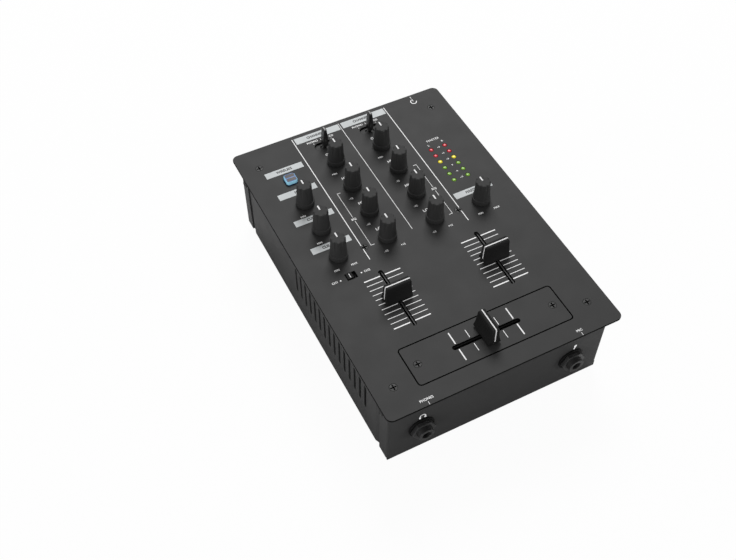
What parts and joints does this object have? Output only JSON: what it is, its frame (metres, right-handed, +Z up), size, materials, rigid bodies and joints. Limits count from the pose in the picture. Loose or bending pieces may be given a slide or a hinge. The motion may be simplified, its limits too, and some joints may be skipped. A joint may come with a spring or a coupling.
{
  "type": "dj mixer",
  "caption": "Compact steel tabletop mixer with rotary controls, channel faders, a crossfader, source levers and level lamps.",
  "frame": {"origin": "on the surface that the feet stand on, under the middle of the top plate", "axes": "+Z up through the top plate, +Y from the crossfader to the source levers at the back, +X to the right"},
  "size_m": [0.17, 0.246, 0.0872],
  "materials": {
    "black_steel": "satin powder coat",
    "black_screw": "blackened",
    "plain_steel": "zinc plated",
    "nickel": "nickel plated",
    "knob_plastic": "matte",
    "gloss_black": "glossy",
    "dark_plastic": "moulded",
    "foot_rubber": "matte",
    "circuit_board": "solder resist",
    "chip_black": "moulded",
    "connector_white": "moulded",
    "ribbon_grey": "flat lead",
    "red_lens": "clear red",
    "yellow_lens": "clear yellow",
    "green_lens": "clear green",
    "phono_white": "moulded",
    "phono_red": "moulded",
    "button_blue": "translucent"
  },
  "bodies": {
    "case": {"top_plate": "black_steel", "crossfader_plate": "black_steel", "plate_screws": "black_screw", "front_panel": "black_steel", "rear_panel": "black_steel", "bottom_tray": "black_steel", "feet": "foot_rubber", "case_screws": "black_screw", "plate_pillars": "plain_steel", "control_board": "circuit_board", "main_board": "circuit_board", "board_standoffs": "plain_steel", "board_parts": "chip_black", "wireless_module": "plain_steel", "board_connectors": "connector_white", "ribbon_cable": "ribbon_grey", "pot_bodies": "dark_plastic", "fader_frames": "plain_steel", "crossfader_nuts": "plain_steel", "source_switch_bodies": "dark_plastic", "cue_switch_body": "dark_plastic", "link_switch_body": "dark_plastic", "red_lamps": "red_lens", "yellow_lamps": "yellow_lens", "green_lamps": "green_lens", "phones_jack": "dark_plastic", "microphone_jack": "dark_plastic", "jack_washers": "gloss_black", "jack_nuts": "gloss_black", "phono_blocks": "dark_plastic", "phono_shells": "nickel", "phono_white_inserts": "phono_white", "phono_red_inserts": "phono_red", "ground_post": "nickel", "supply_inlet": "dark_plastic", "power_switch_frame": "dark_plastic"},
    "microphone_control": {"microphone_knob": "knob_plastic"},
    "cue_mix_control": {"cue_mix_knob": "knob_plastic"},
    "cue_level_control": {"cue_level_knob": "knob_plastic"},
    "channel_1_gain_control": {"channel_1_gain_knob": "knob_plastic"},
    "channel_1_high_control": {"channel_1_high_knob": "knob_plastic"},
    "channel_1_mid_control": {"channel_1_mid_knob": "knob_plastic"},
    "channel_1_low_control": {"channel_1_low_knob": "knob_plastic"},
    "channel_2_gain_control": {"channel_2_gain_knob": "knob_plastic"},
    "channel_2_high_control": {"channel_2_high_knob": "knob_plastic"},
    "channel_2_mid_control": {"channel_2_mid_knob": "knob_plastic"},
    "channel_2_low_control": {"channel_2_low_knob": "knob_plastic"},
    "master_control": {"master_knob": "knob_plastic"},
    "channel_1_fader": {"channel_1_fader_lever": "plain_steel", "channel_1_fader_cap": "knob_plastic"},
    "channel_2_fader": {"channel_2_fader_lever": "plain_steel", "channel_2_fader_cap": "knob_plastic"},
    "crossfader": {"crossfader_lever": "plain_steel", "crossfader_cap": "knob_plastic"},
    "channel_1_source": {"channel_1_source_lever": "gloss_black"},
    "channel_2_source": {"channel_2_source_lever": "gloss_black"},
    "cue_switch": {"cue_switch_slider": "gloss_black"},
    "link_key": {"link_button": "button_blue"},
    "power_key": {"power_rocker": "gloss_black"},
    "ground_terminal_nut": {"ground_nut": "nickel"}
  },
  "joints": [
    {"name": "microphone_turn", "type": "hinge", "parent": "case", "child": "microphone_control", "pos_m": [-0.0555, 0.0582, 0.078], "axis": [0, 0, 1], "range_deg": [-145, 145]},
    {"name": "cue_mix_turn", "type": "hinge", "parent": "case", "child": "cue_mix_control", "pos_m": [-0.0555, 0.0316, 0.078], "axis": [0, 0, 1], "range_deg": [-145, 145]},
    {"name": "cue_level_turn", "type": "hinge", "parent": "case", "child": "cue_level_control", "pos_m": [-0.0555, 0.005, 0.078], "axis": [0, 0, 1], "range_deg": [-145, 145]},
    {"name": "channel_1_gain_turn", "type": "hinge", "parent": "case", "child": "channel_1_gain_control", "pos_m": [-0.0185, 0.0848, 0.078], "axis": [0, 0, 1], "range_deg": [-145, 145]},
    {"name": "channel_1_high_turn", "type": "hinge", "parent": "case", "child": "channel_1_high_control", "pos_m": [-0.0185, 0.0582, 0.078], "axis": [0, 0, 1], "range_deg": [-145, 145]},
    {"name": "channel_1_mid_turn", "type": "hinge", "parent": "case", "child": "channel_1_mid_control", "pos_m": [-0.0185, 0.0316, 0.078], "axis": [0, 0, 1], "range_deg": [-145, 145]},
    {"name": "channel_1_low_turn", "type": "hinge", "parent": "case", "child": "channel_1_low_control", "pos_m": [-0.0185, 0.005, 0.078], "axis": [0, 0, 1], "range_deg": [-145, 145]},
    {"name": "channel_2_gain_turn", "type": "hinge", "parent": "case", "child": "channel_2_gain_control", "pos_m": [0.0185, 0.0848, 0.078], "axis": [0, 0, 1], "range_deg": [-145, 145]},
    {"name": "channel_2_high_turn", "type": "hinge", "parent": "case", "child": "channel_2_high_control", "pos_m": [0.0185, 0.0582, 0.078], "axis": [0, 0, 1], "range_deg": [-145, 145]},
    {"name": "channel_2_mid_turn", "type": "hinge", "parent": "case", "child": "channel_2_mid_control", "pos_m": [0.0185, 0.0316, 0.078], "axis": [0, 0, 1], "range_deg": [-145, 145]},
    {"name": "channel_2_low_turn", "type": "hinge", "parent": "case", "child": "channel_2_low_control", "pos_m": [0.0185, 0.005, 0.078], "axis": [0, 0, 1], "range_deg": [-145, 145]},
    {"name": "master_turn", "type": "hinge", "parent": "case", "child": "master_control", "pos_m": [0.0555, 0.005, 0.078], "axis": [0, 0, 1], "range_deg": [-145, 145]},
    {"name": "channel_1_fader_slide", "type": "slide", "parent": "case", "child": "channel_1_fader", "axis": [0, 1, 0], "range_m": [-0.0225, 0.0225]},
    {"name": "channel_2_fader_slide", "type": "slide", "parent": "case", "child": "channel_2_fader", "axis": [0, 1, 0], "range_m": [-0.0225, 0.0225]},
    {"name": "crossfader_slide", "type": "slide", "parent": "case", "child": "crossfader", "axis": [1, 0, 0], "range_m": [-0.0225, 0.0225]},
    {"name": "channel_1_source_tilt", "type": "hinge", "parent": "case", "child": "channel_1_source", "pos_m": [-0.0185, 0.1039, 0.06], "axis": [0, 1, 0], "range_deg": [-18, 18]},
    {"name": "channel_2_source_tilt", "type": "hinge", "parent": "case", "child": "channel_2_source", "pos_m": [0.0185, 0.1039, 0.06], "axis": [0, 1, 0], "range_deg": [-18, 18]},
    {"name": "cue_switch_slide", "type": "slide", "parent": "case", "child": "cue_switch", "axis": [1, 0, 0], "range_m": [0, 0.002]},
    {"name": "link_press", "type": "slide", "parent": "case", "child": "link_key", "axis": [0, 0, -1], "range_m": [0, 0.0008], "stiffness_N_per_m": 500, "springref_m": -0.001},
    {"name": "power_rock", "type": "hinge", "parent": "case", "child": "power_key", "pos_m": [0.062, 0.1109, 0.034], "axis": [-1, 0, 0], "range_deg": [0, 14]},
    {"name": "ground_nut_turn", "type": "hinge", "parent": "case", "child": "ground_terminal_nut", "pos_m": [-0.036, 0.118, 0.046], "axis": [0, 1, 0], "range_deg": [0, 360]}
  ]
}
